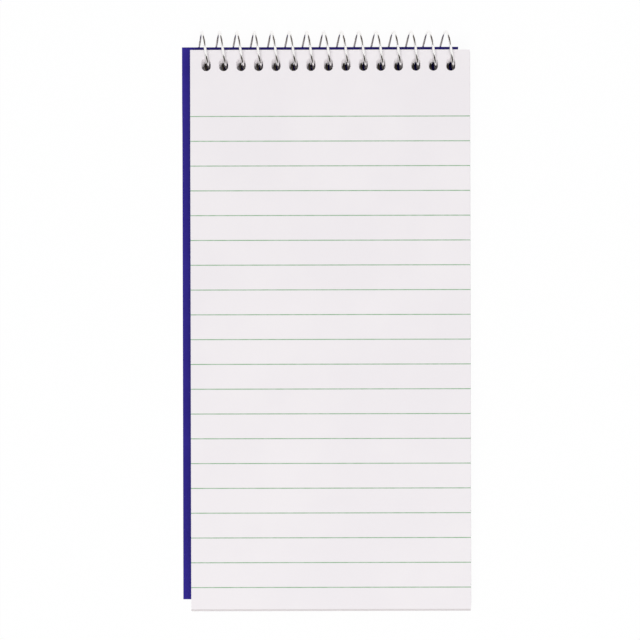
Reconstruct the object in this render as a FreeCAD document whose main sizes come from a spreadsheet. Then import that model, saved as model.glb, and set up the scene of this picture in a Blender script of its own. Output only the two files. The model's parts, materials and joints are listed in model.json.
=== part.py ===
"""A reporter notebook lying on a table with its cover flipped round the coil and folded under it.

X runs along the coil, +Y is the coil's end of the pages and +Z points up. The origin is on the table, under
the centre of the top sheet.
"""

import math
import os
import re

import FreeCAD
import Part
import Sketcher
from FreeCAD import Placement, Rotation, Vector

doc = FreeCAD.newDocument("reporter_notebook")

# Driving dimensions in millimetres
SIZES = {
    "page_width": 101.6,
    "page_length": 203.2,
    "block_thickness": 8.0,
    "board_thickness": 1.2,
    "cover_thickness": 0.4,
    "sheet_gap": 0.05,
    "layer_gap": 0.1,
    "hole_count": 15,
    "hole_pitch": 6.35,
    "hole_width": 3.4,
    "hole_length": 4.8,
    "hole_inset": 5.3,
    "hole_row_offset": -0.55,
    "leaf_lean_across": 0.8,
    "wire_diameter": 0.9,
    "coil_slack": 3.05,
    "wire_low_in_hole": 0.232,
    "wire_right_in_hole": 0.5,
    "wire_right_in_board": 0.45,
    "board_shift_across": 0.5,
    "board_shift_along": 0.6,
    "cover_lift": 1.3,
    "cover_bend_start": 8.0,
    "cover_bend_length": 26.0,
    "cover_shift_across": -3.6,
    "cover_hole_inset": 5.65,
    "cover_hole_diameter": 5.0,
}

# Sizes that follow from the driving ones. A crossing is the distance along Y from the coil's axis to where the
# wire goes through a layer. A turn is the share of a full turn from there to the level of the axis.
DERIVED = {
    "board_base": "cover_lift + cover_thickness + layer_gap",
    "block_base": "board_base + board_thickness + sheet_gap",
    "block_top": "block_base + block_thickness",
    "stack_thickness": "block_top - cover_lift",
    "ring_radius": "(stack_thickness + coil_slack + wire_diameter) / 2",
    "coil_axis_height": "ring_radius + wire_diameter / 2",
    "top_rise": "block_top - coil_axis_height",
    "base_drop": "coil_axis_height - block_base",
    "board_drop": "coil_axis_height - board_base - board_thickness / 2",
    "cover_drop": "coil_axis_height - cover_lift - cover_thickness / 2",
    "top_crossing": "sqrt(ring_radius ^ 2 - top_rise ^ 2)",
    "base_crossing": "sqrt(ring_radius ^ 2 - base_drop ^ 2)",
    "cover_crossing": "sqrt(ring_radius ^ 2 - cover_drop ^ 2)",
    "top_turn": "asin(top_rise / ring_radius) / (360 deg)",
    "board_turn": "asin(board_drop / ring_radius) / (360 deg)",
    "cover_turn": "asin(cover_drop / ring_radius) / (360 deg)",
    "leaf_run": "sqrt(block_thickness ^ 2 + leaf_lean_across ^ 2)",
    "leaf_shift_along": "top_crossing - base_crossing",
    "page_end": "page_length / 2",
    "page_hole_along": "page_end - hole_inset",
    "coil_axis_along": "page_hole_along - wire_low_in_hole + top_crossing",
    "row_length": "(hole_count - 1) * hole_pitch",
    "first_hole_across": "hole_row_offset - row_length / 2",
    "wire_across": "first_hole_across + wire_right_in_hole",
    "board_hole_across": "wire_across + (top_turn + board_turn) * hole_pitch - wire_right_in_board",
    "board_hole_along": "page_hole_along + board_shift_along",
    "cover_hole_across": "wire_across - (0.75 - top_turn - cover_turn) * hole_pitch",
    "cover_hole_along": "coil_axis_along - cover_crossing",
    "cover_end": "cover_hole_along + cover_hole_inset",
}


def make_sheet(name, cells):
    """Fills one spreadsheet with named cells: plain numbers, or formulas on the cells before them."""
    sheet = doc.addObject("Spreadsheet::Sheet", name)
    for row, (alias, content) in enumerate(cells.items(), start=1):
        sheet.set(f"A{row}", alias)
        sheet.set(f"B{row}", str(content))
        sheet.setAlias(f"B{row}", alias)
    return sheet


sizes = make_sheet("sizes", {**SIZES, **{name: f"={formula}" for name, formula in DERIVED.items()}})
doc.recompute()


def with_cells(formula):
    """The formula with each named size written as a cell of the spreadsheet."""
    cells = {**SIZES, **DERIVED}
    return re.sub(r"[a-z_]+", lambda word: f"sizes.{word[0]}" if word[0] in cells else word[0], formula)


def size(formula):
    """Present value of a formula on the named sizes."""
    return float(sizes.evalExpression(with_cells(formula)))


def bind(thing, path, formula):
    """Ties a property or constraint to a formula on the named sizes."""
    thing.setExpression(path, with_cells(formula))


def make_body(label):
    """An empty body with a label of its own."""
    body = doc.addObject("PartDesign::Body", label)
    body.Label = label
    return body


def sketch_on(body, role, name, height=None):
    """A sketch on one of the body's own origin planes, lifted along its normal if a height is given."""
    sketch = body.newObject("Sketcher::SketchObject", name)
    plane = next(feature for feature in body.Origin.OriginFeatures if feature.Role == role)
    sketch.AttachmentSupport = [(plane, "")]
    sketch.MapMode = "FlatFace"
    if height is not None:
        bind(sketch, "AttachmentOffset.Base.z", height)
    return sketch


def dimension(sketch, formula, kind, *where):
    """Adds one dimension to a sketch and ties it to a formula."""
    index = sketch.addConstraint(Sketcher.Constraint(kind, *where, size(formula)))
    bind(sketch, f"Constraints[{index}]", formula)


ROOT = -1
START, END, CENTRE = 1, 2, 3


def place_point(sketch, geometry, point, across, along):
    """Places one point of a sketch by formulas for its signed distances from the sketch's origin."""
    dimension(sketch, across, "DistanceX", ROOT, 1, geometry, point)
    dimension(sketch, along, "DistanceY", ROOT, 1, geometry, point)


def draw_circle(sketch, diameter, across, along):
    """A round hole's outline, with its diameter and centre given as formulas."""
    centre = Vector(size(across), size(along), 0)
    circle = sketch.addGeometry(Part.Circle(centre, Vector(0, 0, 1), size(diameter) / 2))
    dimension(sketch, diameter, "Diameter", circle)
    place_point(sketch, circle, CENTRE, across, along)


def draw_slot(sketch, width, length, across, along):
    """A hole's outline with round ends, longer along the notebook than across it, measured by formulas."""
    radius = size(width) / 2
    normal, beside = Vector(0, 0, 1), Vector(radius, 0, 0)
    middle = Vector(size(across), size(along), 0)
    reach = Vector(0, size(length) / 2 - radius, 0)
    far_round = Part.Circle(middle + reach, normal, radius)
    near_round = Part.Circle(middle - reach, normal, radius)
    far = sketch.addGeometry(Part.ArcOfCircle(far_round, 0, math.pi))
    left = sketch.addGeometry(Part.LineSegment(middle + reach - beside, middle - reach - beside))
    near = sketch.addGeometry(Part.ArcOfCircle(near_round, math.pi, 2 * math.pi))
    right = sketch.addGeometry(Part.LineSegment(middle - reach + beside, middle + reach + beside))
    for first, second in ((far, left), (left, near), (near, right), (right, far)):
        sketch.addConstraint(Sketcher.Constraint("Tangent", first, END, second, START))
    sketch.addConstraint(Sketcher.Constraint("Vertical", left))
    dimension(sketch, f"({width}) / 2", "Radius", near)
    dimension(sketch, f"({length}) - ({width})", "DistanceY", near, CENTRE, far, CENTRE)
    place_point(sketch, near, CENTRE, across, f"({along}) - (({length}) - ({width})) / 2")


def draw_rectangle(sketch, width, length, across, along):
    """A rectangle placed by its corner of least X and Y, with every measure given as a formula."""
    x, y = size(across), size(along)
    wide, long = size(width), size(length)
    corners = [Vector(x, y, 0), Vector(x + wide, y, 0), Vector(x + wide, y + long, 0), Vector(x, y + long, 0)]
    sides = [sketch.addGeometry(Part.LineSegment(corners[i], corners[(i + 1) % 4])) for i in range(4)]
    for i, side in enumerate(sides):
        sketch.addConstraint(Sketcher.Constraint("Coincident", side, END, sides[(i + 1) % 4], START))
        sketch.addConstraint(Sketcher.Constraint("Vertical" if i % 2 else "Horizontal", side))
    dimension(sketch, width, "DistanceX", sides[0], START, sides[0], END)
    dimension(sketch, length, "DistanceY", sides[1], START, sides[1], END)
    place_point(sketch, sides[0], START, across, along)


def repeat_holes(body, cut):
    """Repeats the first hole along the coil at the pitch of the holes."""
    pattern = body.newObject("PartDesign::LinearPattern", f"{body.Label}_hole_row")
    pattern.Originals = [cut]
    axis = next(feature for feature in body.Origin.OriginFeatures if feature.Role == "X_Axis")
    pattern.Direction = (axis, [""])
    bind(pattern, "Length", "row_length")
    bind(pattern, "Occurrences", "hole_count")
    body.Tip = pattern


def drill_through(body, sketch):
    """Cuts a sketch through the whole height of a body, whichever side the sketch is on."""
    pocket = body.newObject("PartDesign::Pocket", f"{body.Label}_first_hole")
    pocket.Profile = sketch
    pocket.Type = 1
    pocket.Midplane = True
    doc.recompute()
    repeat_holes(body, pocket)


def draw_leaf_path(path):
    """The arc of the coil's own radius on which the leaves hang, drawn from the first hole in the top one.

    The coil is a screw, so the sketch leans along it, by leaf_lean_across from the top leaf to the last.
    """
    path.AttachmentOffset = Placement(Vector(0, 0, 0), Rotation(Vector(1, 0, 0), -1))
    bind(path, "AttachmentOffset.Rotation.Angle", "-atan(leaf_lean_across / block_thickness)")
    bind(path, "AttachmentOffset.Base.y", "block_top")
    bind(path, "AttachmentOffset.Base.z", "first_hole_across")
    top = Vector(size("page_hole_along"), 0, 0)
    base = Vector(size("page_hole_along + leaf_shift_along"), -size("leaf_run"), 0)
    chord = base - top
    to_centre = Vector(-chord.y, chord.x, 0).normalize()
    radius = size("ring_radius")
    centre = (top + base) / 2 + to_centre * math.sqrt(radius**2 - (chord.Length / 2) ** 2)
    circle = Part.Circle(centre, Vector(0, 0, 1), radius)
    arc = path.addGeometry(Part.ArcOfCircle(circle, circle.parameter(top), circle.parameter(base)))
    place_point(path, arc, START, "page_hole_along", "0")
    dimension(path, "ring_radius", "Radius", arc)
    dimension(path, "leaf_shift_along", "DistanceX", arc, START, arc, END)
    dimension(path, "leaf_run", "DistanceY", arc, END, arc, START)


def build_page_block():
    """The ruled leaves as one solid: each hangs on the coil at its own height, so it lies a little off the next."""
    body = make_body("page_block")
    path = sketch_on(body, "YZ_Plane", "leaf_path")
    draw_leaf_path(path)
    outline = sketch_on(body, "XY_Plane", "leaf_outline", "block_top")
    draw_rectangle(outline, "page_width", "page_length", "-page_width / 2", "-page_end")
    leaves = body.newObject("PartDesign::AdditivePipe", "leaves")
    leaves.Profile = outline
    leaves.Spine = (path, ["Edge1"])
    leaves.Mode = "Fixed"
    doc.recompute()

    holes = []
    for name, height, along in (
        ("top_leaf_hole", "block_top", "page_hole_along"),
        ("middle_leaf_hole", "coil_axis_height", "page_hole_along + top_crossing - ring_radius"),
        ("last_leaf_hole", "block_base", "page_hole_along + leaf_shift_along"),
    ):
        across = f"first_hole_across + leaf_lean_across * (block_top - {height}) / block_thickness"
        hole = sketch_on(body, "XY_Plane", name, height)
        draw_slot(hole, "hole_width", "hole_length", across, along)
        holes.append(hole)
    punch = body.newObject("PartDesign::SubtractiveLoft", "leaves_first_hole")
    punch.Profile = holes[0]
    punch.Sections = holes[1:]
    punch.Ruled = True
    doc.recompute()
    repeat_holes(body, punch)
    return body


def build_back_board():
    """The stiff chipboard under the leaves, hanging a little further round the coil."""
    body = make_body("back_board")
    outline = sketch_on(body, "XY_Plane", "board_outline", "board_base")
    draw_rectangle(
        outline,
        "page_width",
        "page_length",
        "board_shift_across - page_width / 2",
        "board_shift_along - page_end",
    )
    board = body.newObject("PartDesign::Pad", "board_slab")
    board.Profile = outline
    bind(board, "Length", "board_thickness")
    doc.recompute()
    hole = sketch_on(body, "XY_Plane", "board_hole", "board_base + board_thickness / 2")
    draw_slot(hole, "hole_width", "hole_length", "board_hole_across", "board_hole_along")
    drill_through(body, hole)
    return body


def build_front_cover():
    """The flexible cover: held up by the coil at its holes, it bends down to lie flat on the table."""
    body = make_body("front_cover")
    outline = sketch_on(body, "YZ_Plane", "cover_side")
    lift, thick = size("cover_lift"), size("cover_thickness")
    tip = size("cover_end")
    high_turn = size("cover_hole_along") - size("cover_bend_start")
    low_turn = high_turn - size("cover_bend_length")
    foot = tip - size("page_length")
    run = size("cover_bend_length")
    bend = (run**2 + lift**2) / (4 * lift)
    tilt = 2 * math.atan2(lift, run)
    normal = Vector(0, 0, 1)

    def arc(centre, radius, first, last):
        return outline.addGeometry(Part.ArcOfCircle(Part.Circle(centre, normal, radius), first, last))

    def line(first, last):
        return outline.addGeometry(Part.LineSegment(Vector(*first, 0), Vector(*last, 0)))

    low_centre = Vector(low_turn, bend + thick / 2, 0)
    high_centre = Vector(high_turn, lift - bend + thick / 2, 0)
    down, up = 1.5 * math.pi, 0.5 * math.pi
    under_flat = line((foot, 0), (low_turn, 0))
    under_low = arc(low_centre, bend + thick / 2, down, down + tilt)
    under_high = arc(high_centre, bend - thick / 2, up, up + tilt)
    under_strip = line((high_turn, lift), (tip, lift))
    tip_edge = line((tip, lift), (tip, lift + thick))
    over_strip = line((tip, lift + thick), (high_turn, lift + thick))
    over_high = arc(high_centre, bend + thick / 2, up, up + tilt)
    over_low = arc(low_centre, bend - thick / 2, down, down + tilt)
    over_flat = line((low_turn, thick), (foot, thick))
    foot_edge = line((foot, thick), (foot, 0))

    for kind, first, first_end, second, second_end in (
        ("Tangent", under_flat, END, under_low, START),
        ("Tangent", under_low, END, under_high, END),
        ("Tangent", under_high, START, under_strip, START),
        ("Coincident", under_strip, END, tip_edge, START),
        ("Coincident", tip_edge, END, over_strip, START),
        ("Tangent", over_strip, END, over_high, START),
        ("Tangent", over_high, END, over_low, END),
        ("Tangent", over_low, START, over_flat, START),
        ("Coincident", over_flat, END, foot_edge, START),
        ("Coincident", foot_edge, END, under_flat, START),
        ("Coincident", under_low, CENTRE, over_low, CENTRE),
        ("Coincident", under_high, CENTRE, over_high, CENTRE),
    ):
        outline.addConstraint(Sketcher.Constraint(kind, first, first_end, second, second_end))
    outline.addConstraint(Sketcher.Constraint("Horizontal", under_flat))
    outline.addConstraint(Sketcher.Constraint("Vertical", tip_edge))
    outline.addConstraint(Sketcher.Constraint("Vertical", foot_edge))
    outline.addConstraint(Sketcher.Constraint("Equal", under_low, over_high))
    place_point(outline, tip_edge, START, "cover_end", "cover_lift")
    dimension(outline, "cover_thickness", "DistanceY", tip_edge, START, tip_edge, END)
    dimension(outline, "page_length", "DistanceX", under_flat, START, under_strip, END)
    dimension(outline, "cover_bend_length", "DistanceX", under_flat, END, under_strip, START)
    strip = "cover_hole_inset + cover_bend_start"
    dimension(outline, strip, "DistanceX", under_strip, START, under_strip, END)
    dimension(outline, "cover_lift", "DistanceY", under_flat, START, under_strip, END)

    panel = body.newObject("PartDesign::Pad", "cover_panel")
    panel.Profile = outline
    panel.Midplane = True
    bind(panel, "Length", "page_width")
    doc.recompute()
    hole = sketch_on(body, "XY_Plane", "cover_hole", "cover_lift + cover_thickness / 2")
    draw_circle(hole, "cover_hole_diameter", "cover_hole_across - cover_shift_across", "cover_hole_along")
    drill_through(body, hole)
    bind(body, "Placement.Base.x", "cover_shift_across")
    return body


def draw_wire_section(section):
    """The wire's section: six flats as far apart as the wire is thick, two of them facing the coil's axis."""
    corner = size("wire_diameter / sqrt(3)")
    middle = Vector(0, size("ring_radius"), 0)
    ring = section.addGeometry(Part.Circle(middle, Vector(0, 0, 1), corner), True)
    dimension(section, "wire_diameter / sqrt(3)", "Radius", ring)
    dimension(section, "ring_radius", "DistanceY", ROOT, 1, ring, CENTRE)
    section.addConstraint(Sketcher.Constraint("PointOnObject", ring, CENTRE, -2))
    turns = [math.radians(60 * step) for step in range(6)]
    corners = [middle + Vector(corner * math.cos(turn), corner * math.sin(turn), 0) for turn in turns]
    edges = [Part.LineSegment(corners[step], corners[(step + 1) % 6]) for step in range(6)]
    flats = [section.addGeometry(edge) for edge in edges]
    for step, flat in enumerate(flats):
        section.addConstraint(Sketcher.Constraint("Coincident", flat, END, flats[(step + 1) % 6], START))
        section.addConstraint(Sketcher.Constraint("PointOnObject", flat, START, ring))
        if step:
            section.addConstraint(Sketcher.Constraint("Equal", flats[0], flat))
    section.addConstraint(Sketcher.Constraint("Horizontal", flats[1]))


def build_spiral_wire():
    """One wire wound as a right-handed coil, from its tail in the cover's first hole to the one in the last hole.

    Angles are measured round the coil's axis from +Y towards +Z, and a turn takes the wire one pitch along X.
    """
    inner_radius = size("ring_radius - wire_diameter / 2")
    sheet_angle = 180 - 360 * size("top_turn")
    start_angle = math.degrees(math.asin(size("cover_drop - cover_thickness / 2") / inner_radius)) - 180
    end_angle = 180 + 360 * size("board_turn")
    turns = size("hole_count") - 1 + (end_angle - start_angle) / 360
    start_across = size("wire_across") + (start_angle - sheet_angle) / 360 * size("hole_pitch")

    body = make_body("spiral_wire")
    section = sketch_on(body, "XY_Plane", "wire_section")
    draw_wire_section(section)
    coil = body.newObject("PartDesign::AdditiveHelix", "wire_coil")
    coil.Profile = section
    coil.ReferenceAxis = (section, ["H_Axis"])
    coil.Mode = 1
    bind(coil, "Pitch", "hole_pitch")
    coil.Turns = turns
    coil.Angle = 0
    body.Placement = Placement(
        Vector(start_across, size("coil_axis_along"), size("coil_axis_height")),
        Rotation(Vector(1, 0, 0), start_angle),
    )
    doc.recompute()
    print(f"spiral_wire: {start_angle:.2f} to {end_angle:.2f} degrees, {turns:.3f} turns, x {start_across:.2f}")
    return body


parts = [build_page_block(), build_back_board(), build_front_cover(), build_spiral_wire()]
doc.recompute()

for thing in doc.Objects:
    faults = {"Invalid", "Error"} & set(thing.State)
    if faults:
        raise RuntimeError(f"{thing.Label} failed: {sorted(faults)}")

os.makedirs("parts", exist_ok=True)
for part in parts:
    shape = part.Shape
    if shape.isNull() or not shape.isValid() or len(shape.Solids) != 1:
        raise RuntimeError(f"{part.Label} isn't one valid solid")
    shape.exportStep(f"parts/{part.Label}.step")
    box = shape.BoundBox
    spans = ((box.XMin, box.XMax), (box.YMin, box.YMax), (box.ZMin, box.ZMax))
    reach = ", ".join(f"{low:.2f}..{high:.2f}" for low, high in spans)
    print(f"{part.Label}: {shape.Volume:.1f} mm3, {reach}")
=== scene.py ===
"""Dresses the reporter notebook: ruled leaves, stiff board, blue cover folded under and wound wire.

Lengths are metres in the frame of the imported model: X along the coil, +Y towards the coil, and +Z up
out of the top page.
"""

from __future__ import annotations

import json
import logging
import math
from dataclasses import dataclass
from enum import Enum

import bpy
import numpy as np
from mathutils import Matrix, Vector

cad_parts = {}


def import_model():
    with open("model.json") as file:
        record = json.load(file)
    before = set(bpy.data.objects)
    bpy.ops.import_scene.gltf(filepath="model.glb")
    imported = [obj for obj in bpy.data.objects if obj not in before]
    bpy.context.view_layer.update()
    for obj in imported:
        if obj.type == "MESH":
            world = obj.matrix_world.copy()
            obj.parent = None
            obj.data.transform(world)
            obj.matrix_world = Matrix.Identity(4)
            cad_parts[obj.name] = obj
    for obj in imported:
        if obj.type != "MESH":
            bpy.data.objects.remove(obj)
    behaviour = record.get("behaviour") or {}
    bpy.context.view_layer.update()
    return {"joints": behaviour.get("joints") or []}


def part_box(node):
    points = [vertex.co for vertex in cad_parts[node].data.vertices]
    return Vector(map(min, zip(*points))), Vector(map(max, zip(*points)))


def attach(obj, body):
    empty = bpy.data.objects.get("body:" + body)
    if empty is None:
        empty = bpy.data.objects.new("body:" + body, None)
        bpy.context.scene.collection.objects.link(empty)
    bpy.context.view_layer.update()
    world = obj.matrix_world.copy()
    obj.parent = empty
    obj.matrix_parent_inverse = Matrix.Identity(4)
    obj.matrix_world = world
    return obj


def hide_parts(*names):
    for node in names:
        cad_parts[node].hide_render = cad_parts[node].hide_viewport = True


log = logging.getLogger("notebook")

MM = 0.001
TURN = 2 * math.pi

Array = np.ndarray
Link = bpy.types.NodeSocket
Material = bpy.types.Material
Piece = bpy.types.Object
Colour = tuple[float, float, float]
Point = tuple[float, float, float]
Net = tuple[Array, Array]


class Operation(Enum):
    """The sums that an expression on signals can ask of a Math node."""

    ADD = "ADD"
    SUBTRACT = "SUBTRACT"
    MULTIPLY = "MULTIPLY"
    DIVIDE = "DIVIDE"
    LESS = "LESS_THAN"
    MORE = "GREATER_THAN"
    SIZE = "ABSOLUTE"
    NEAREST = "ROUND"


@dataclass
class Signal:
    """A number that varies over a surface, on which Python's own operators work.

    Args:
        bench: the bench that the number belongs to.
        socket: the node output that carries it.
    """

    bench: Bench
    socket: Link

    def combine(self, operation: Operation, *terms: Signal | float) -> Signal:
        """What one Math node makes of these terms, in their order."""
        node = self.bench.node("ShaderNodeMath", {"operation": operation.value}, dict(enumerate(terms)))
        return Signal(self.bench, node.outputs[0])

    def __add__(self, other: Signal | float) -> Signal:
        """This plus other."""
        return self.combine(Operation.ADD, self, other)

    __radd__ = __add__

    def __sub__(self, other: Signal | float) -> Signal:
        """This less other."""
        return self.combine(Operation.SUBTRACT, self, other)

    def __rsub__(self, other: Signal | float) -> Signal:
        """Other less this."""
        return self.combine(Operation.SUBTRACT, other, self)

    def __mul__(self, other: Signal | float) -> Signal:
        """This times other."""
        return self.combine(Operation.MULTIPLY, self, other)

    __rmul__ = __mul__

    def __truediv__(self, other: Signal | float) -> Signal:
        """This divided by other."""
        return self.combine(Operation.DIVIDE, self, other)

    def __rtruediv__(self, other: Signal | float) -> Signal:
        """Other divided by this."""
        return self.combine(Operation.DIVIDE, other, self)

    def __neg__(self) -> Signal:
        """This with the other sign."""
        return 0.0 - self

    def __abs__(self) -> Signal:
        """This without its sign."""
        return self.combine(Operation.SIZE, self)

    def __lt__(self, other: Signal | float) -> Signal:
        """One where this is less than other, and zero elsewhere."""
        return self.combine(Operation.LESS, self, other)

    def __gt__(self, other: Signal | float) -> Signal:
        """One where this is more than other, and zero elsewhere."""
        return self.combine(Operation.MORE, self, other)

    def nearest(self) -> Signal:
        """The whole number nearest to this."""
        return self.combine(Operation.NEAREST, self)

    def ramp(self, low: float, high: float) -> Signal:
        """A soft slope from zero to one.

        Args:
            low: the value up to which the result is zero.
            high: the value from which it is one.

        Returns:
            The result.
        """
        settings = {"interpolation_type": "SMOOTHSTEP"}
        sockets = {"Value": self, "From Min": low, "From Max": high, "To Min": 0.0, "To Max": 1.0}
        return Signal(self.bench, self.bench.node("ShaderNodeMapRange", settings, sockets).outputs[0])


@dataclass(frozen=True)
class Grain:
    """A kind of noise on a surface.

    Args:
        scale: how many grains it has to a metre, or to a unit of its map along each axis.
        detail: how many finer layers it has.
        low: the value at which its troughs end.
        high: the value at which its peaks begin.
    """

    scale: float | Point
    detail: float
    low: float = 0.3
    high: float = 0.7

    def peaks(self, noise: Signal) -> Signal:
        """One on the peaks of such noise and zero in its troughs, with a soft slope between them."""
        return noise.ramp(self.low, self.high)


@dataclass(frozen=True)
class Relief:
    """How a surface's fine height shows: its depth in metres, and a strength from zero to one."""

    depth: float
    strength: float


class Bench:
    """The nodes of one material, or of the room round the notebook."""

    def __init__(self, owner: Material | bpy.types.World, output: str) -> None:
        """Clears the owner's nodes and adds its output.

        Args:
            owner: the material or room that the nodes are for.
            output: the type of its output node.
        """
        owner.use_nodes = True
        self.owner = owner
        self.tree = owner.node_tree
        self.tree.nodes.clear()
        self.output = self.tree.nodes.new(output)

    @classmethod
    def for_material(cls, name: str) -> Bench:
        """Starts an empty material."""
        return cls(bpy.data.materials.new(name), "ShaderNodeOutputMaterial")

    @classmethod
    def for_room(cls, name: str) -> Bench:
        """Starts an empty room."""
        return cls(bpy.data.worlds.new(name), "ShaderNodeOutputWorld")

    def node(self, kind: str, settings: dict | None = None, sockets: dict | None = None) -> bpy.types.Node:
        """Adds one node.

        Args:
            kind: the node's type.
            settings: properties of the node, set before its sockets.
            sockets: value or link of each input, by the input's name or place.

        Returns:
            The node.
        """
        node = self.tree.nodes.new(kind)
        for name, value in (settings or {}).items():
            setattr(node, name, value)
        for place, value in (sockets or {}).items():
            socket = node.inputs[place]
            if isinstance(value, Signal):
                self.tree.links.new(value.socket, socket)
            elif isinstance(value, Link):
                self.tree.links.new(value, socket)
            elif isinstance(value, tuple) and socket.type == "RGBA":
                socket.default_value = (*value, 1.0)
            else:
                socket.default_value = value
        return node

    def place(self) -> Link:
        """The point on the piece, in the frame's own coordinates."""
        return self.node("ShaderNodeTexCoord").outputs["Object"]

    def axes(self) -> tuple[Signal, Signal, Signal]:
        """The point's X, Y and Z."""
        node = self.node("ShaderNodeSeparateXYZ", sockets={0: self.place()})
        return tuple(Signal(self, output) for output in node.outputs)

    def noise(self, grain: Grain, where: Link | None = None) -> Signal:
        """Smooth noise from zero to one.

        Args:
            grain: its kind.
            where: the point it is read at, if that isn't the point on the piece.

        Returns:
            The noise.
        """
        where = where or self.place()
        scale = grain.scale
        if isinstance(scale, tuple):
            where = self.node("ShaderNodeMapping", sockets={"Vector": where, "Scale": scale}).outputs[0]
            scale = 1.0
        sockets = {"Vector": where, "Scale": scale, "Detail": grain.detail}
        return Signal(self, self.node("ShaderNodeTexNoise", sockets=sockets).outputs[0])

    def blend(self, share: Signal, first: Colour | Link, second: Colour | Link) -> Link:
        """The colour that goes from first to second as share goes from zero to one."""
        node = self.node("ShaderNodeMix", {"data_type": "RGBA"}, {0: share, 6: first, 7: second})
        return node.outputs[2]

    def bump(self, height: Signal, relief: Relief) -> Link:
        """The normal of a surface with this height."""
        sockets = {"Height": height, "Distance": relief.depth, "Strength": relief.strength}
        return self.node("ShaderNodeBump", sockets=sockets).outputs[0]

    def glow(self, colour: Colour) -> Link:
        """A shader that gives off one colour as it is written."""
        return self.node("ShaderNodeEmission", sockets={"Color": colour, "Strength": 1.0}).outputs[0]

    def seen_directly(self) -> Signal:
        """Tells the rays that show a thing from those that only light it.

        Returns:
            One for rays from the camera, mirrors and clear things, and zero for the rest.
        """
        path = self.node("ShaderNodeLightPath")
        rays = ("Is Camera Ray", "Is Glossy Ray", "Is Transmission Ray")
        camera, mirror, glass = (Signal(self, path.outputs[ray]) for ray in rays)
        return 1.0 - (1.0 - camera) * (1.0 - mirror) * (1.0 - glass)

    def end_in(self, shader: Link) -> None:
        """Ends the nodes in this shader."""
        self.tree.links.new(shader, self.output.inputs["Surface"])

    def finish(self, sockets: dict) -> Material:
        """Ends a material in one surface shader with these sockets."""
        self.end_in(self.node("ShaderNodeBsdfPrincipled", sockets=sockets).outputs[0])
        return self.owner


@dataclass(frozen=True)
class RuledPaper:
    """Smooth white writing paper with pale green lines across its whole width.

    The lines are at first, first - step, and so on. A point's line number is its distance below the
    first line over the step, rounded, and the ink covers what lies within half a line's width of it.
    The lower leaves hang out past the top one's near end, and painted shade darkens them there, standing in
    for the shade on their ledges.

    Args:
        near_end: how far the top leaf's near end is from the middle.
        soft_edge: how far a line's edges fade to each side.
        rim: the painted shade colour of the paper past the near end.
        fibre_polish: how much less rough it is on its fibres.
    """

    near_end: float
    first: float = 77.43 * MM
    step: float = 9.008 * MM
    count: int = 20
    line_width: float = 0.34 * MM
    soft_edge: float = 0.03 * MM
    sheet: Colour = (0.86, 0.82, 0.835)
    sheet_shade: Colour = (0.84, 0.80, 0.82)
    # Painted shade for the lower leaves' ledges past the near end, not the paper's own colour.
    rim: Colour = (0.68, 0.645, 0.65)
    painted_shade_fade: float = 0.05 * MM
    ink: Colour = (0.24, 0.43, 0.245)
    ink_thin: Colour = (0.36, 0.51, 0.365)
    patch: Grain = Grain(38.0, 3.0)
    ink_patch: Grain = Grain(420.0, 3.0, 0.35, 0.7)
    fibre: Grain = Grain(1900.0, 4.0)
    relief: Relief = Relief(0.012 * MM, 0.35)
    roughness: float = 0.75
    fibre_polish: float = 0.08
    gloss: float = 0.2

    def printed(self, along: Signal) -> Signal:
        """Where the lines are.

        Args:
            along: the point's Y.

        Returns:
            One on a line and zero between the lines.
        """
        number = (self.first - along) / self.step
        line = number.nearest()
        distance = abs(number - line) * self.step
        half = self.line_width / 2
        inked = 1.0 - distance.ramp(half - self.soft_edge, half + self.soft_edge)
        return inked * (line > -0.5) * (line < self.count - 0.5)

    def make(self) -> Material:
        """Builds the material.

        Returns:
            The material.
        """
        bench = Bench.for_material("ruled_paper")
        _, along, _ = bench.axes()
        sheet = bench.blend(self.patch.peaks(bench.noise(self.patch)), self.sheet, self.sheet_shade)
        # Painted shade: past the top leaf's near end the paper blends to the rim colour, standing in for
        # the shade on the ledges.
        beyond = (-along).ramp(self.near_end, self.near_end + self.painted_shade_fade)
        paper = bench.blend(beyond, sheet, self.rim)
        ink = bench.blend(self.ink_patch.peaks(bench.noise(self.ink_patch)), self.ink, self.ink_thin)
        fibres = bench.noise(self.fibre)
        return bench.finish(
            {
                "Base Color": bench.blend(self.printed(along), paper, ink),
                "Roughness": self.roughness - self.fibre_polish * fibres,
                "Normal": bench.bump(fibres, self.relief),
                "Specular IOR Level": self.gloss,
            }
        )


@dataclass(frozen=True)
class CutPaper:
    """The leaves' cut edges, each leaf its own shade: darker than their faces, partly for the cut fibres
    and partly as painted shade on the hole walls.

    Args:
        shade: the leaves' shades, as noise that is long along them and fine across them.
    """

    # Partly painted shade: both colours are darker than the paper's faces to stand in for the shade on the
    # hole walls.
    pale: Colour = (0.68, 0.645, 0.645)
    dull: Colour = (0.54, 0.505, 0.50)
    leaf: float = 0.1 * MM
    shade: Grain = Grain((25.0, 25.0, 1.3 / leaf), 2.0, 0.35, 0.65)
    fuzz: Grain = Grain(2600.0, 3.0)
    relief: Relief = Relief(0.02 * MM, 0.5)
    roughness: float = 0.9
    gloss: float = 0.1

    def make(self) -> Material:
        """Builds the material.

        Returns:
            The material.
        """
        bench = Bench.for_material("cut_paper")
        return bench.finish(
            {
                "Base Color": bench.blend(self.shade.peaks(bench.noise(self.shade)), self.dull, self.pale),
                "Roughness": self.roughness,
                "Normal": bench.bump(bench.noise(self.fuzz), self.relief),
                "Specular IOR Level": self.gloss,
            }
        )


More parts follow.
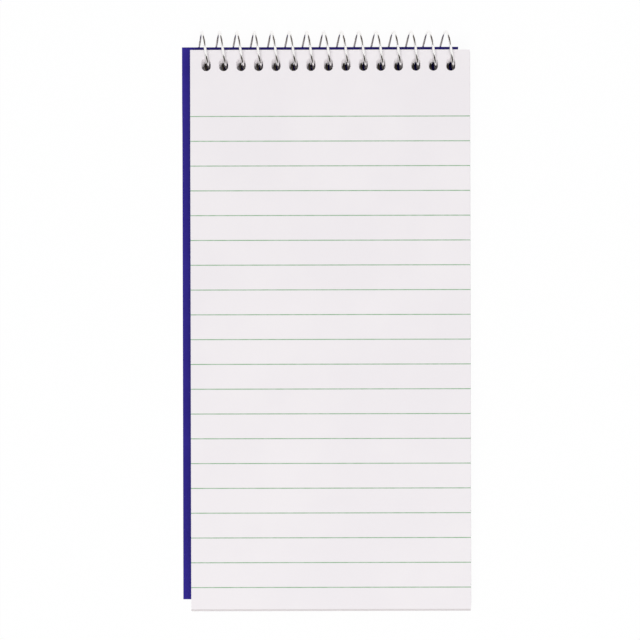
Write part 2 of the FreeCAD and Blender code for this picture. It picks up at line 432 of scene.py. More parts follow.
@dataclass(frozen=True)
class BluePlastic:
    """Flexible deep blue plastic, coloured right through, with a fine satin grain.

    The grain is cells of about a third of a millimetre that are softened by noise.

    Args:
        cells: how many cells it has to a metre.
        cell_share: their share in the grain, of which the rest is noise.
        grain_roughness: how much rougher it is at the top of the grain.
    """

    deep: Colour = (0.027, 0.018, 0.232)
    light: Colour = (0.033, 0.022, 0.264)
    patch: Grain = Grain(60.0, 3.0)
    cells: float = 2600.0
    cell_softness: float = 0.6
    cell_share: float = 0.7
    fuzz: Grain = Grain(5200.0, 2.0)
    relief: Relief = Relief(0.02 * MM, 0.5)
    roughness: float = 0.42
    grain_roughness: float = 0.08
    gloss: float = 0.12

    def make(self) -> Material:
        """Builds the material.

        Returns:
            The material.
        """
        bench = Bench.for_material("blue_plastic")
        sockets = {"Vector": bench.place(), "Scale": self.cells, "Smoothness": self.cell_softness}
        cells = bench.node("ShaderNodeTexVoronoi", {"feature": "SMOOTH_F1"}, sockets)
        fuzz = bench.noise(self.fuzz) * (1 - self.cell_share)
        grain = Signal(bench, cells.outputs["Distance"]) * self.cell_share + fuzz
        return bench.finish(
            {
                "Base Color": bench.blend(self.patch.peaks(bench.noise(self.patch)), self.deep, self.light),
                "Roughness": self.roughness + self.grain_roughness * grain,
                "Normal": bench.bump(grain, self.relief),
                "Specular IOR Level": self.gloss,
            }
        )


@dataclass(frozen=True)
class GreyBoard:
    """Unlined grey-brown chipboard with loose fibres and darker flecks.

    Args:
        fibre: the fibres, as noise that is stretched one way.
        flecks: the flecks, on the highest peaks of a finer noise.
    """

    ground: Colour = (0.28, 0.23, 0.18)
    shade: Colour = (0.22, 0.18, 0.135)
    fleck: Colour = (0.12, 0.10, 0.085)
    fibre: Grain = Grain((900.0, 260.0, 2400.0), 4.0, 0.35, 0.65)
    flecks: Grain = Grain(1500.0, 2.0, 0.66, 0.74)
    relief: Relief = Relief(0.05 * MM, 0.6)
    roughness: float = 0.92
    gloss: float = 0.15

    def make(self) -> Material:
        """Builds the material.

        Returns:
            The material.
        """
        bench = Bench.for_material("grey_board")
        fibres = bench.noise(self.fibre)
        ground = bench.blend(self.fibre.peaks(fibres), self.ground, self.shade)
        return bench.finish(
            {
                "Base Color": bench.blend(self.flecks.peaks(bench.noise(self.flecks)), ground, self.fleck),
                "Roughness": self.roughness,
                "Normal": bench.bump(fibres, self.relief),
                "Specular IOR Level": self.gloss,
            }
        )


@dataclass(frozen=True)
class DrawnSteel:
    """Bright steel wire with the faint streaks that drawing leaves along it.

    Args:
        streak: the streaks, as noise on the wire's own map that is long along it and fine round it.
        streak_roughness: how much rougher the wire is on them.
    """

    bright: Colour = (0.98, 0.965, 0.955)
    dull: Colour = (0.89, 0.875, 0.865)
    streak: Grain = Grain((60.0, 14.0, 1.0), 3.0)
    relief: Relief = Relief(0.004 * MM, 0.4)
    roughness: float = 0.10
    streak_roughness: float = 0.10

    def make(self) -> Material:
        """Builds the material.

        Returns:
            The material.
        """
        bench = Bench.for_material("drawn_steel")
        route = bench.node("ShaderNodeUVMap", {"uv_map": "route"}).outputs[0]
        streaks = bench.noise(self.streak, route)
        return bench.finish(
            {
                "Base Color": bench.blend(self.streak.peaks(streaks), self.dull, self.bright),
                "Metallic": 1.0,
                "Roughness": self.roughness + self.streak_roughness * streaks,
                "Normal": bench.bump(streaks, self.relief),
            }
        )


def new_piece(name: str, points: Array, faces: list[list[int]], smooth: bool) -> Piece:
    """Puts a mesh into the scene.

    Args:
        name: the piece's name.
        points: one row of three for each point.
        faces: the point numbers of each face.
        smooth: whether light runs smoothly over the faces.

    Returns:
        The object, at the origin.
    """
    data = bpy.data.meshes.new(name)
    data.from_pydata(points.tolist(), [], faces)
    data.polygons.foreach_set("use_smooth", np.full(len(faces), smooth))
    data.update()
    piece = bpy.data.objects.new(name, data)
    bpy.context.scene.collection.objects.link(piece)
    return piece


def round_edges(piece: Piece, radius: float) -> None:
    """Rounds a sheet's sharp edges with a bevel of two steps.

    Args:
        piece: the sheet.
        radius: how far in from an edge the bevel begins.
    """
    bevel = piece.modifiers.new("rounded_edges", "BEVEL")
    bevel.width = radius
    bevel.segments = 2
    bevel.limit_method = "ANGLE"
    bevel.angle_limit = math.radians(50)


def grid(across: Array, along: Array) -> Net:
    """A flat net of four-sided faces, seen anticlockwise from above.

    Args:
        across: the X of each column, rising.
        along: the Y of each row, rising.

    Returns:
        The points in two columns, and the faces.
    """
    x, y = np.meshgrid(across, along)
    points = np.column_stack([x.ravel(), y.ravel()])
    columns = len(across)
    corner = (np.arange(len(along) - 1)[:, None] * columns + np.arange(columns - 1)).ravel()
    return points, np.column_stack([corner, corner + 1, corner + columns + 1, corner + columns])


def copies(points: Array, faces: Array, moves: Array) -> Net:
    """The same net in several places.

    Args:
        points: its points, one row each.
        faces: its faces.
        moves: how far each copy is moved, one row each.

    Returns:
        The points and the faces of all the copies.
    """
    moved = (points[None] + moves[:, None]).reshape(-1, points.shape[1])
    steps = (np.arange(len(moves)) * len(points))[:, None, None]
    return moved, (faces[None] + steps).reshape(-1, 4)


def stack(nets: list[Net]) -> Net:
    """Several nets as one.

    Args:
        nets: the points and the faces of each.

    Returns:
        The points and the faces of all of them.
    """
    starts = np.cumsum([0, *(len(points) for points, _ in nets[:-1])])
    points = np.vstack([points for points, _ in nets])
    return points, np.vstack([faces + start for (_, faces), start in zip(nets, starts)])


@dataclass
class Mesh:
    """Points and faces that are being put together.

    Args:
        points: one row of three for each point.
        faces: one row of four point numbers for each face.
        finish: one finish number for each face.
    """

    points: Array
    faces: Array
    finish: Array

    @staticmethod
    def join(parts: list[Mesh]) -> Mesh:
        """One mesh with everything that the parts hold."""
        points, faces = stack([(part.points, part.faces) for part in parts])
        return Mesh(points, faces, np.concatenate([part.finish for part in parts]))

    def to_object(self, name: str, finishes: list[Material]) -> Piece:
        """Puts the mesh into the scene.

        Args:
            name: the piece's name.
            finishes: its materials, in the order of the faces' numbers. The last one also takes the
                faces whose numbers go past it.

        Returns:
            The object, at the origin.
        """
        piece = new_piece(name, self.points, self.faces.tolist(), False)
        for finish in finishes:
            piece.data.materials.append(finish)
        numbers = np.minimum(self.finish, len(finishes) - 1)
        piece.data.polygons.foreach_set("material_index", numbers.astype(np.int32))
        return piece


@dataclass(frozen=True)
class HoleRow:
    """The row of punched holes along one end of a sheet.

    Args:
        middle: the X of the row's middle.
        along: the Y of the holes' centres.
        width: each hole's width across the sheet.
        length: its length along the sheet.
        pitch: distance between two holes.
        count: number of holes.
        reach: how far the net round a hole goes from the hole's centre along Y.
    """

    middle: float
    along: float
    width: float
    length: float
    pitch: float
    count: int
    reach: float = 4.0 * MM

    def centres(self) -> Array:
        """The X of each hole's centre."""
        return self.middle + (np.arange(self.count) - (self.count - 1) / 2) * self.pitch

    def rings(self, sides: int) -> Net:
        """The faces between each hole's edge and the box round it.

        The hole's edge is a circle of half its width whose two halves are moved apart by the rest of
        its length, and its points run anticlockwise with the box's own, from the corner of most X and
        least Y.

        Args:
            sides: number of points round a hole, a multiple of four.

        Returns:
            The points in two columns, and the faces.
        """
        turn = np.arange(sides) * TURN / sides - math.pi / 4
        spread = (self.length - self.width) / 2
        level = 1e-9
        half_turn = np.where(np.abs(np.sin(turn)) < level, 0.0, np.sign(np.sin(turn)))
        edge = np.column_stack([np.cos(turn), np.sin(turn)]) * self.width / 2
        edge[:, 1] += spread * half_turn
        quarter = sides // 4
        step = np.tile(np.arange(quarter) / quarter * 2 - 1, 4)
        side = np.repeat(np.arange(4), quarter)
        box_x = np.choose(side, [np.ones(sides), -step, -np.ones(sides), step]) * self.pitch / 2
        box_y = np.choose(side, [step, np.ones(sides), -step, -np.ones(sides)]) * self.reach
        one = np.vstack([edge, np.column_stack([box_x, box_y])])
        here = np.arange(sides)
        after = (here + 1) % sides
        faces = np.column_stack([here + sides, after + sides, after, here])
        return copies(one, faces, np.column_stack([self.centres(), np.full(self.count, self.along)]))


@dataclass(frozen=True)
class Punching:
    """How the sheets are cut and punched.

    Args:
        hole_inset: from the sheet's far end to the holes' centres.
        row_offset: the X of the middle of the leaves' row of holes.
        wire_right_in_hole: how far right of a hole's middle the wire goes through the top leaf.
        wire_right_in_board: the same in the board.
    """

    page_width: float = 101.6 * MM
    page_length: float = 203.2 * MM
    hole_width: float = 3.4 * MM
    hole_length: float = 4.8 * MM
    hole_inset: float = 5.3 * MM
    row_offset: float = -0.55 * MM
    cover_hole_inset: float = 5.65 * MM
    cover_hole_diameter: float = 5.0 * MM
    cover_thickness: float = 0.4 * MM
    wire_right_in_hole: float = 0.5 * MM
    wire_right_in_board: float = 0.45 * MM
    pitch: float = 6.35 * MM
    count: int = 15

    def half_row(self) -> float:
        """From the middle of a row to its last hole."""
        return (self.count - 1) / 2 * self.pitch

    def slots(self, middle: float, far_end: float) -> HoleRow:
        """The slotted holes of a leaf or of the board, whose far end is at that Y."""
        along = far_end - self.hole_inset
        return HoleRow(middle, along, self.hole_width, self.hole_length, self.pitch, self.count)

    def cover_holes(self, middle: float, far_end: float) -> HoleRow:
        """The round holes of the cover, whose far end is at that Y."""
        along, diameter = far_end - self.cover_hole_inset, self.cover_hole_diameter
        return HoleRow(middle, along, diameter, diameter, self.pitch, self.count)


@dataclass(frozen=True)
class PunchedPanel:
    """A rectangle with a row of holes, as one closed net.

    Args:
        low: the corner of least X and Y.
        high: the corner of most X and Y.
        row: its holes.
        sides: number of points round a hole.
        stations: further Y values at which the net is divided, rising, below the holes.
        join_within: how near to each other two points are when they are one.
    """

    low: tuple[float, float]
    high: tuple[float, float]
    row: HoleRow
    sides: int
    stations: tuple[float, ...] = ()
    join_within: float = 1e-7

    def net(self) -> Net:
        """Rings round the holes, a margin on each side of them, and a strip beyond and below them.

        Returns:
            The points in two columns, and the faces, with every shared point joined.
        """
        quarter = self.sides // 4
        row = self.row
        fractions = np.arange(quarter) / quarter
        starts = row.centres() - row.pitch / 2
        columns = (starts[:, None] + fractions * row.pitch).ravel()
        columns = np.append(columns, starts[-1] + row.pitch)
        rows = row.along + (np.arange(quarter + 1) / quarter * 2 - 1) * row.reach
        whole = np.concatenate([[self.low[0]], columns, [self.high[0]]])
        points, faces = stack(
            [
                row.rings(self.sides),
                grid(np.array([self.low[0], columns[0]]), rows),
                grid(np.array([columns[-1], self.high[0]]), rows),
                grid(whole, np.array([rows[-1], self.high[1]])),
                grid(whole, np.array([self.low[1], *self.stations, rows[0]])),
            ]
        )
        cells = np.round(points / self.join_within)
        _, kept, joined = np.unique(cells, axis=0, return_index=True, return_inverse=True)
        return points[kept], joined.ravel()[faces]

    def rim(self, faces: Array) -> Array:
        """The edges that only one face has.

        Args:
            faces: the net's faces.

        Returns:
            The two points of each edge, in its face's own direction.
        """
        edges = np.vstack([faces[:, [side, (side + 1) % 4]] for side in range(4)])
        many = faces.max() + 1
        there = edges[:, 0] * many + edges[:, 1]
        back = edges[:, 1] * many + edges[:, 0]
        return edges[~np.isin(there, back)]

    def slab(self, top: Array, base: Array, faces: Array) -> Mesh:
        """A closed sheet with walls along its outline and round its holes.

        Args:
            top: the points of its upper face.
            base: the point under each of them.
            faces: the net's faces.

        Returns:
            The mesh, whose walls have finish 1 and its two faces finish 0.
        """
        count = len(top)
        rim = self.rim(faces)
        walls = np.column_stack([rim[:, 1], rim[:, 0], rim[:, 0] + count, rim[:, 1] + count])
        finish = np.concatenate([np.zeros(2 * len(faces)), np.ones(len(walls))])
        return Mesh(np.vstack([top, base]), np.vstack([faces, faces[:, ::-1] + count, walls]), finish)


@dataclass
class Coil:
    """The wire: a right-handed helix round an axis along X.

    Its centre line is at radius times (cos, sin) of the angle in Y and Z, and moves one pitch along X
    for each turn. A circle of the wire's radius is carried along it, square to its direction.

    Args:
        axis_along: the Y of its axis.
        axis_height: the Z of its axis.
        top: the height of the top leaf.
        tail_height: the height at which it starts, on the cover.
        board_height: the height at which it ends, inside the board.
        punching: the sheets' measures.
        ring_radius: from the axis to the centre line.
        waver: how far the loops lie off their places at most.
        waves: the share, the rate against the wire's angle and the start of each sine in the waver.
        slack: how much further right the loops are outside the sheets.
        slack_middle: the angle at the middle of the sheets.
        slack_reach: the cosine of the angle from there at which the slack begins.
        tip_closed: how far a tip's last ring is closed.
        route_scale: how many units of the wire's own map make a metre.
    """

    axis_along: float
    axis_height: float
    top: float
    tail_height: float
    board_height: float
    punching: Punching
    ring_radius: float = 6.85 * MM
    wire_radius: float = 0.45 * MM
    steps_per_turn: int = 72
    sides: int = 20
    waver: float = 0.05 * MM
    waves: tuple[tuple[float, float, float], ...] = ((0.5, 0.37, 0.8), (0.3, 0.83, 2.1))
    slack: float = 0.30 * MM
    slack_middle: float = math.radians(225)
    slack_reach: float = math.cos(math.radians(35))
    tip_length: float = 0.12 * MM
    tip_rings: int = 5
    tip_closed: float = 0.98
    route_scale: float = 10.0

    def down_angle(self, height: float) -> float:
        """The angle at which the wire goes down through a height on the leaves' side."""
        return math.pi - math.asin((height - self.axis_height) / self.ring_radius)

    def start_angle(self) -> float:
        """The angle at which the wire's inner side meets the cover."""
        inner = self.ring_radius - self.wire_radius
        return math.asin((self.axis_height - self.tail_height) / inner) - math.pi

    def across(self, angle: Array | float) -> Array | float:
        """The X of the wire's centre line at an angle, which runs on from turn to turn."""
        first = self.punching.row_offset - self.punching.half_row() + self.punching.wire_right_in_hole
        return first + (angle - self.down_angle(self.top)) / TURN * self.punching.pitch

    def board_row(self, height: float) -> float:
        """The X of the middle of the board's holes, which follow the wire's place at that height."""
        first = self.across(self.down_angle(height)) - self.punching.wire_right_in_board
        return first + self.punching.half_row()

    def cover_row(self, height: float) -> float:
        """The X of the middle of the cover's holes, for a cover that the wire goes through at a height.

        When the cover has swung over, the wire goes through it half a turn further on, so half a pitch
        and the slack further right. The holes are centred between the two places.

        Args:
            height: the height of the cover's middle at its holes.

        Returns:
            The X.
        """
        crossing = self.down_angle(height) - TURN
        half_step = (self.punching.pitch / 2 + self.slack) / 2
        return self.across(crossing) + half_step + self.punching.half_row()

    def loose(self, angle: Array) -> Array:
        """How far the wire lies off the plain helix, along X.

        It wavers from loop to loop. Its loops also lie to the right by the slack, except inside the
        sheets: the share of the slack is one where the cosine of the angle from the middle of the
        sheets is zero or less, and goes smoothly to zero where it is the cosine of the reach.

        Args:
            angle: the angle at each point.

        Returns:
            The distances.
        """
        inside = np.clip(np.cos(angle - self.slack_middle) / self.slack_reach, 0.0, 1.0)
        waver = sum(size * np.sin(angle * rate + start) for size, rate, start in self.waves)
        return self.waver * waver + self.slack * (1 - inside**2 * (3 - 2 * inside))

    def centre_line(self) -> tuple[Array, Array]:
        """The line that the wire follows.

        Returns:
            Its points, and at each the direction away from the coil's axis.
        """
        start = self.start_angle()
        end = self.down_angle(self.board_height) + (self.punching.count - 1) * TURN
        count = int((end - start) / TURN * self.steps_per_turn)
        angle = np.linspace(start, end, count)
        radial = np.column_stack([np.zeros(count), np.cos(angle), np.sin(angle)])
        axis = np.array([0.0, self.axis_along, self.axis_height])
        line = axis + radial * self.ring_radius
        line[:, 0] = self.across(angle) + self.loose(angle)
        return line, radial

    def tip_girth(self, share: Array) -> Array:
        """How much of the wire's girth is left over a tip: a quarter of a circle that nearly closes."""
        return np.sqrt(1 - (share * self.tip_closed) ** 2)

    def rings(self) -> tuple[Array, Array]:
        """Carries the wire's circle along its line, with a rounded tip at each end.

        Returns:
            The points of each ring, ring by ring along the wire, and the middle of each ring.
        """
        line, radial = self.centre_line()
        heading = np.gradient(line, axis=0)
        heading /= np.linalg.norm(heading, axis=1)[:, None]
        side = np.cross(heading, radial)
        side /= np.linalg.norm(side, axis=1)[:, None]
        out = np.cross(side, heading)
        tip = np.linspace(0.0, 1.0, self.tip_rings + 1)[1:]
        before = line[0] - heading[0] * self.tip_length * tip[::-1, None]
        after = line[-1] + heading[-1] * self.tip_length * tip[:, None]
        middles = np.vstack([before, line, after])
        girth = np.concatenate([self.tip_girth(tip[::-1]), np.ones(len(line)), self.tip_girth(tip)])
        ends = ((self.tip_rings, self.tip_rings), (0, 0))
        out, side = (np.pad(direction, ends, mode="edge") for direction in (out, side))
        turn = np.arange(self.sides) / self.sides * TURN
        ring = np.cos(turn)[None, :, None] * out[:, None] + np.sin(turn)[None, :, None] * side[:, None]
        return middles[:, None] + ring * girth[:, None, None] * self.wire_radius, middles

    def faces(self, rings: int) -> list[list[int]]:
        """The wire's wall, and a fan of three-sided faces over each end.

        Args:
            rings: number of rings. The middles of the two ends are the points after the last ring's.

        Returns:
            The faces.
        """
        here = np.arange(self.sides)
        after = (here + 1) % self.sides
        row = np.arange(rings - 1)[:, None] * self.sides
        next_row = row + self.sides
        wall = np.stack([row + here, row + after, next_row + after, next_row + here], axis=-1)
        last = (rings - 1) * self.sides
        start = np.full(self.sides, rings * self.sides)
        near_fan = np.column_stack([start, after, here])
        far_fan = np.column_stack([start + 1, last + here, last + after])
        return wall.reshape(-1, 4).tolist() + near_fan.tolist() + far_fan.tolist()

    def map_route(self, piece: Piece, middles: Array) -> None:
        """Gives each corner its place along the wire and its share of the way round it.

        Args:
            piece: the wire.
            middles: the middle of each ring.
        """
        data = piece.data
        run = np.concatenate([[0.0], np.cumsum(np.linalg.norm(np.diff(middles, axis=0), axis=1))])
        corner = np.zeros(len(data.loops), np.int32)
        data.loops.foreach_get("vertex_index", corner)
        ring = np.minimum(corner // self.sides, len(run) - 1)
        around = np.abs((corner % self.sides) / self.sides * 2 - 1)
        route = np.column_stack([run[ring] * self.route_scale, around])
        data.uv_layers.new(name="route").data.foreach_set("uv", route.astype(np.float32).ravel())

    def build(self) -> Piece:
        """Makes the wire.

        Returns:
            The wire, with its own map for its finish.
        """
        rings, middles = self.rings()
        points = np.vstack([rings.reshape(-1, 3), middles[0], middles[-1]])
        piece = new_piece("wire_coil", points, self.faces(len(rings)), True)
        self.map_route(piece, middles)
        piece.data.materials.append(DrawnSteel().make())
        return piece

    def dress(self, piece: Piece) -> None:
        """Gives the wire its place in the frame.

        Args:
            piece: the wire.
        """
        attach(piece, "pad")
        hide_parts("spiral_wire")


@dataclass
class Leaves:
    """The ruled leaves, each its own closed sheet.

    A leaf hangs from the coil at its own height, so it is moved along Y by the difference between the
    half chords of the coil's circle at the top leaf and at its own. The coil is a screw, so the leaves
    also lean along it, by the square of their depth, and each lies a little off its place at random.

    Args:
        coil: the wire that they hang on.
        base: the height of the last leaf's underside.
        top: the height of the top leaf.
        punching: their measures.
        scatter: how far a leaf usually lies off its place. None lies off by more than twice as much.
        bands: the leaves in bands from the top, each with the number of the last leaf in it, counted
            from one, and the number of points round its holes.
    """

    coil: Coil
    base: float
    top: float
    punching: Punching
    count: int = 80
    air: float = 0.012 * MM
    lean: float = 0.62 * MM
    scatter: float = 0.035 * MM
    seed: int = 7
    bands: tuple[tuple[int, int], ...] = ((1, 32), (40, 16), (80, 8))

    def chord(self, height: Array) -> Array:
        """Half the chord of the coil's circle at a height."""
        return np.sqrt(self.coil.ring_radius**2 - (height - self.coil.axis_height) ** 2)

    def panel(self, sides: int) -> PunchedPanel:
        """One leaf's outline and holes.

        Args:
            sides: number of points round a hole.

        Returns:
            The panel.
        """
        half_width, half_length = self.punching.page_width / 2, self.punching.page_length / 2
        row = self.punching.slots(self.punching.row_offset, half_length)
        return PunchedPanel((-half_width, -half_length), (half_width, half_length), row, sides)

    def band(self, leaves: Array, shifts: Array, sides: int) -> Mesh:
        """Several leaves with equally fine holes.

        Args:
            leaves: their numbers, from the top.
            shifts: how far each moves along X and Y.
            sides: number of points round a hole.

        Returns:
            Their meshes, as one.
        """
        panel = self.panel(sides)
        flat, faces = panel.net()
        pitch = (self.top - self.base) / self.count
        tops = self.top - leaves * pitch
        zeros = np.zeros(len(flat))
        top, base = np.column_stack([flat, zeros]), np.column_stack([flat, zeros - pitch + self.air])
        sheet = panel.slab(top, base, faces)
        points, faces = copies(sheet.points, sheet.faces, np.column_stack([shifts, tops]))
        return Mesh(points, faces, np.tile(sheet.finish, len(leaves)))

    def build(self) -> Piece:
        """Makes all the leaves as one piece.

        Returns:
            The leaves.
        """
        chance = np.random.default_rng(self.seed)
        leaves = np.arange(self.count)
        depth = (leaves + 0.5) / self.count
        middle = self.top - depth * (self.top - self.base)
        hang = self.chord(np.array(self.top)) - self.chord(middle)
        shifts = np.column_stack([depth**2 * self.lean, hang])
        shifts += chance.normal(0.0, self.scatter, shifts.shape).clip(-2 * self.scatter, 2 * self.scatter)
        shifts[0] = 0.0
        parts, first = [], 0
        for last, sides in self.bands:
            parts.append(self.band(leaves[first:last], shifts[first:last], sides))
            first = last
        ruled = RuledPaper(self.punching.page_length / 2).make()
        return Mesh.join(parts).to_object("leaves", [ruled, CutPaper().make()])

    def dress(self, piece: Piece) -> None:
        """Gives the leaves their place in the frame.

        Args:
            piece: the leaves.
        """
        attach(piece, "pad")
        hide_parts("page_block")


@dataclass
class Sheet:
    """What the board and the cover have in common.

    Args:
        low: its corner of least X, Y and Z.
        high: its corner of most X, Y and Z.
        row_middle: the X of the middle of its holes.
        punching: the sheets' measures.
    """

    low: Point
    high: Point
    row_middle: float
    punching: Punching
    hole_sides: int = 24


@dataclass
class Board(Sheet):
    """The stiff board under the leaves, with its cut edges slightly rounded."""

    edge_radius: float = 0.12 * MM

    def build(self) -> Piece:
        """Makes the board.

        Returns:
            The board.
        """
        row = self.punching.slots(self.row_middle, self.high[1])
        panel = PunchedPanel(self.low[:2], self.high[:2], row, self.hole_sides)
        flat, faces = panel.net()
        ones = np.ones(len(flat))
        top = np.column_stack([flat, ones * self.high[2]])
        base = np.column_stack([flat, ones * self.low[2]])
        piece = panel.slab(top, base, faces).to_object("stiff_board", [GreyBoard().make()])
        round_edges(piece, self.edge_radius)
        return piece

    def dress(self, piece: Piece) -> None:
        """Gives the board its place in the frame.

        Args:
            piece: the board.
        """
        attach(piece, "pad")
        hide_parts("back_board")


@dataclass
class Cover(Sheet):
    """The blue cover: flat on the table, and bent gently up to a strip that the coil holds by its holes.

    Its section is two straight runs joined by two equal arcs that turn opposite ways. Over a run and a
    rise, each arc's radius is (run squared + rise squared) / (4 times rise).

    Args:
        bend_start: from the holes' centres to the bend.
    """

    bend_start: float = 8.0 * MM
    bend_length: float = 26.0 * MM
    bend_steps: int = 48
    edge_radius: float = 0.06 * MM

    def bend_end(self) -> float:
        """The Y at which the bend ends and the strip at the holes begins."""
        return self.high[1] - self.punching.cover_hole_inset - self.bend_start

    def section(self, along: Array) -> tuple[Array, Array]:
        """The section's middle line.

        Args:
            along: the Y of each point.

        Returns:
            Its height and its slope.
        """
        thickness = self.punching.cover_thickness
        rise, run = self.high[2] - self.low[2] - thickness, self.bend_length
        radius = (run**2 + rise**2) / (4 * rise)
        place = np.clip(along - (self.bend_end() - run), 0.0, run)
        lower = place < run / 2
        reach = np.where(lower, place, run - place)
        drop = radius - np.sqrt(radius**2 - reach**2)
        height = np.where(lower, drop, rise - drop) + self.low[2] + thickness / 2
        return height, reach / np.sqrt(radius**2 - reach**2)

    def build(self) -> Piece:
        """Makes the cover. Each point is half the thickness from the middle line, square to it.

        Returns:
            The cover.
        """
        end = self.bend_end()
        stations = np.linspace(end - self.bend_length, end, self.bend_steps + 1)
        row = self.punching.cover_holes(self.row_middle, self.high[1])
        panel = PunchedPanel(self.low[:2], self.high[:2], row, self.hole_sides, tuple(stations))
        flat, faces = panel.net()
        height, slope = self.section(flat[:, 1])
        square = np.column_stack([np.zeros(len(flat)), -slope, np.ones(len(flat))])
        square /= np.linalg.norm(square, axis=1)[:, None]
        middle = np.column_stack([flat, height])
        half = square * self.punching.cover_thickness / 2
        sheet = panel.slab(middle + half, middle - half, faces)
        piece = sheet.to_object("blue_cover", [BluePlastic().make()])
        round_edges(piece, self.edge_radius)
        return piece

    def dress(self, piece: Piece) -> None:
        """Gives the cover its place in the frame.

        Args:
            piece: the cover.
        """
        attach(piece, "cover")
        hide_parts("front_cover")


@dataclass(frozen=True)
class Card:
    """A dark card that stands across the coil, and that only the metal mirrors.

    Args:
        name: its name.
        past_coil: how far past the coil's axis it stands, along Y.
        half_width: half its width.
        heights: those of its lower and upper edges.
        shade: its colour.
    """

    name: str
    past_coil: float
    half_width: float
    heights: tuple[float, float]
    shade: Colour

    def stand(self, coil_along: float) -> None:
        """Puts the card into the scene.

        Args:
            coil_along: the Y of the coil's axis.
        """
        bench = Bench.for_material(self.name)
        bench.end_in(bench.glow(self.shade))
        half, along = self.half_width, coil_along + self.past_coil
        low, high = self.heights
        points, faces = grid(np.array([-half, half]), np.array([low, high]))
        points = np.column_stack([points[:, 0], np.full(len(points), along), points[:, 1]])
        card = Mesh(points, faces, np.zeros(1)).to_object(self.name, [bench.owner])
        card.visible_camera = False
        card.visible_diffuse = False
        card.visible_shadow = False
        card.visible_transmission = False


@dataclass(frozen=True)
class Lamp:
    """A soft square lamp that points at the notebook, and that the metal doesn't mirror.

    Args:
        name: its name.
        place: where it hangs.
        size: the length of its sides.
        power: its power in watts.
    """

    name: str
    place: Point
    size: float
    power: float

    def hang(self) -> None:
        """Puts the lamp into the scene, tilted and then turned from straight down to the origin."""
        data = bpy.data.lights.new(self.name, "AREA")
        data.shape = "SQUARE"
        data.size = self.size
        data.energy = self.power
        lamp = bpy.data.objects.new(self.name, data)
        lamp.location = self.place
        x, y, z = self.place
        lamp.rotation_euler = (math.atan2(math.hypot(x, y), z), 0.0, math.atan2(x, -y))
        lamp.visible_glossy = False
        bpy.context.scene.collection.objects.link(lamp)


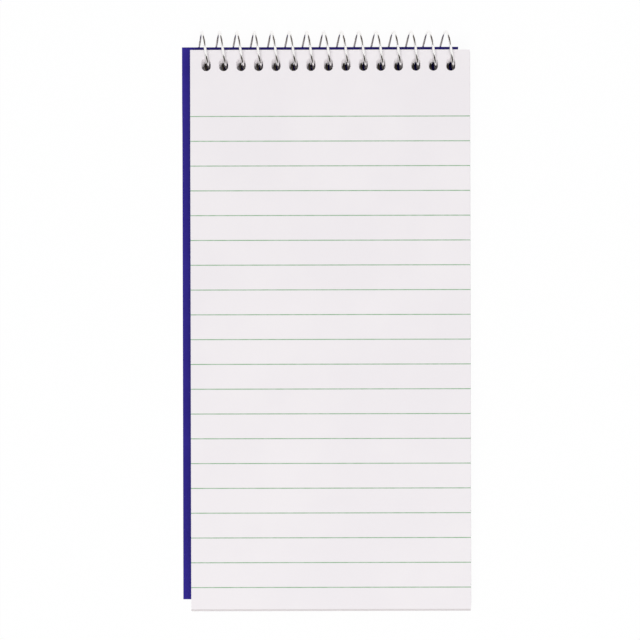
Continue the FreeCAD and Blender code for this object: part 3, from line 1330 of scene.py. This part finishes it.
@dataclass(frozen=True)
class Studio:
    """The table, the light and the camera.

    Args:
        page_height: the height of the top page, at which the camera's scale holds.
        rest_height: the height that the notebook rests at.
        coil_along: the Y of the coil's axis.
        page_width: the top page's real width.
        page_pixels: its width in the picture.
        page_middle: the pixel at its middle.
        picture: the picture's width in pixels.
        distance: from the top page to the camera.
        roll: how far the notebook lies turned anticlockwise in the picture, in degrees.
        table_gap: how far the table is under the notebook.
        table_glow: how much of plain white there is in what is seen of it.
    """

    page_height: float
    rest_height: float
    coil_along: float
    page_width: float
    page_pixels: float = 279.65
    page_middle: tuple[float, float] = (330.53, 329.38)
    picture: float = 640.0
    distance: float = 0.75
    roll: float = 0.122
    sensor: float = 36.0
    nearest: float = 0.01
    table_gap: float = 0.02 * MM
    table_half: float = 1.6
    table_colour: Colour = (0.9, 0.9, 0.9)
    table_glow: float = 0.96
    white: Colour = (1.0, 1.0, 1.0)
    room_colour: Colour = (0.97, 0.985, 1.0)
    room_strength: float = 0.42
    cards: tuple[Card, ...] = (
        Card("card_beyond", 0.24, half_width=0.29, heights=(0.0, 0.64), shade=(0.05, 0.035, 0.025)),
        Card("card_before", -0.26, half_width=0.5, heights=(0.03, 0.37), shade=(0.035, 0.029, 0.020)),
    )
    lamps: tuple[Lamp, ...] = (
        Lamp("lamp_left", place=(-0.5, -1.5, 3.0), size=1.2, power=36.5),
        Lamp("lamp_right", place=(0.5, -1.5, 3.0), size=1.2, power=36.5),
        Lamp("lamp_above", place=(0.0, 0.25, 1.2), size=0.25, power=1.2),
    )

    def camera(self) -> None:
        """Puts the camera straight above the page, so that the page has its place in the picture."""
        scale = self.page_width / self.page_pixels
        half = self.picture / 2
        data = bpy.data.cameras.new("camera")
        data.sensor_width = self.sensor
        data.lens = self.sensor * self.distance / (self.picture * scale)
        data.clip_start = self.nearest
        camera = bpy.data.objects.new("camera", data)
        camera.location = (
            (half - self.page_middle[0]) * scale,
            (self.page_middle[1] - half) * scale,
            self.page_height + self.distance,
        )
        camera.rotation_euler = (0.0, 0.0, -math.radians(self.roll))
        bpy.context.scene.collection.objects.link(camera)
        bpy.context.scene.camera = camera

    def table(self) -> None:
        """Lays a white table that is nearly plain white where it is seen, and keeps the soft shadow."""
        bench = Bench.for_material("white_table")
        seen = bench.seen_directly() * self.table_glow
        matt = bench.node("ShaderNodeBsdfDiffuse", sockets={"Color": self.table_colour}).outputs[0]
        mix = bench.node("ShaderNodeMixShader", sockets={0: seen, 1: matt, 2: bench.glow(self.white)})
        bench.end_in(mix.outputs[0])
        edges = np.linspace(-self.table_half, self.table_half, 3)
        points, faces = grid(edges, edges)
        points = np.column_stack([points, np.full(len(points), self.rest_height - self.table_gap)])
        floor = Mesh(points, faces, np.zeros(len(faces))).to_object("table", [bench.owner])

    def room(self) -> None:
        """Fills the room with even light, and shows plain white where the room is seen or mirrored."""
        bench = Bench.for_room("room")
        bpy.context.scene.world = bench.owner
        light = {"Color": self.room_colour, "Strength": self.room_strength}
        even = bench.node("ShaderNodeBackground", sockets=light).outputs[0]
        white = bench.node("ShaderNodeBackground", sockets={"Color": self.white}).outputs[0]
        mix = bench.node("ShaderNodeMixShader", sockets={0: bench.seen_directly(), 1: even, 2: white})
        bench.end_in(mix.outputs[0])

    def build(self) -> None:
        """Sets up everything round the notebook."""
        bpy.context.scene.view_settings.view_transform = "Standard"
        self.camera()
        self.table()
        self.room()
        for card in self.cards:
            card.stand(self.coil_along)
        for lamp in self.lamps:
            lamp.hang()


def corners(node: str) -> tuple[Point, Point]:
    """A node's lowest and highest corners."""
    low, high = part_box(node)
    return tuple(low), tuple(high)


def main() -> None:
    """Builds the notebook round the frame, then the studio round the notebook."""
    logging.basicConfig(level=logging.INFO, format="%(name)s: %(message)s")
    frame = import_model()
    _, axis_along, axis_height = frame["joints"][0]["pos_m"]
    block_low, block_high = corners("page_block")
    board_low, board_high = corners("back_board")
    cover_low, cover_high = corners("front_cover")
    punching = Punching()
    board_middle = (board_low[2] + board_high[2]) / 2
    strip_middle = cover_high[2] - punching.cover_thickness / 2

    coil = Coil(axis_along, axis_height, block_high[2], cover_high[2], board_middle, punching)
    leaves = Leaves(coil, block_low[2], block_high[2], punching)
    board = Board(board_low, board_high, coil.board_row(board_middle), punching)
    cover = Cover(cover_low, cover_high, coil.cover_row(strip_middle), punching)
    for maker in (coil, leaves, board, cover):
        piece = maker.build()
        maker.dress(piece)
        log.info("%s: %d faces", piece.name, len(piece.data.polygons))
    Studio(block_high[2], cover_low[2], axis_along, punching.page_width).build()


if __name__ == "__main__":
    main()
